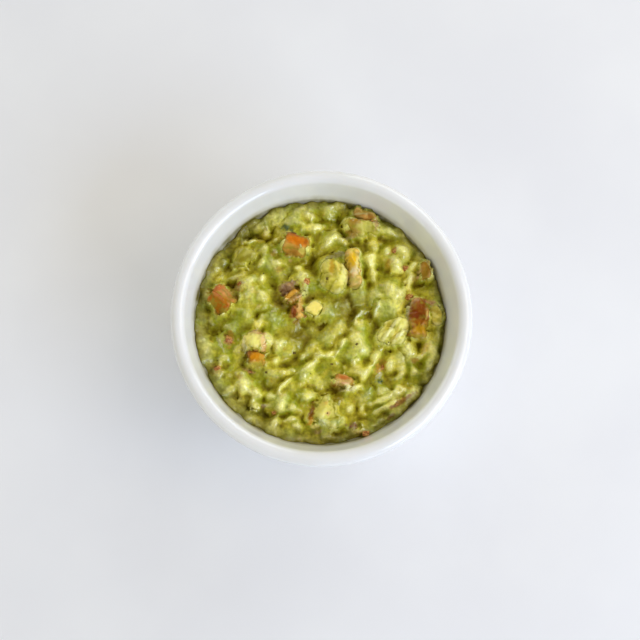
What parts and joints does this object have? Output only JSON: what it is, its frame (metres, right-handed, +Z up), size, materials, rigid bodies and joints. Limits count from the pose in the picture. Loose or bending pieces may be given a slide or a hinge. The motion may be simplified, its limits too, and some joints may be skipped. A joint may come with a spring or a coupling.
{
  "type": "bowl of guacamole",
  "caption": "Small round white dip bowl with a thick rounded lip, filled with chunky guacamole in which diced tomato and lumps of avocado show.",
  "frame": {"origin": "middle of the foot's underside, on the surface the bowl stands on", "axes": "+Z up through the middle of the bowl; the bowl is round, and +Y is the side of the single tomato cube near the wall's middle"},
  "size_m": [0.095, 0.095, 0.042],
  "materials": {
    "glaze": "clear gloss glaze over white stoneware",
    "guacamole": "wet mashed avocado, uneven gloss",
    "avocado": "moist soft flesh, low gloss with wet film",
    "tomato": "wet cut flesh, glossy",
    "tomato_skin": "thin wet skin, glossy"
  },
  "bodies": {
    "root": {"bowl": "glaze", "guacamole": "guacamole", "tomato_dice_1": "tomato", "tomato_dice_2": "tomato", "tomato_dice_3": "tomato", "tomato_dice_4": "tomato", "tomato_dice_5": "tomato", "tomato_dice_6": "tomato", "tomato_dice_7": "tomato", "tomato_dice_8": "tomato", "avocado_lump_1": "avocado", "avocado_lump_2": "avocado", "avocado_lump_3": "avocado", "avocado_lump_4": "avocado", "avocado_lump_5": "avocado", "avocado_lump_6": "avocado", "avocado_lump_7": "avocado", "avocado_lump_8": "avocado", "tomato_skin_1": "tomato_skin", "tomato_skin_2": "tomato_skin"}
  },
  "joints": []
}
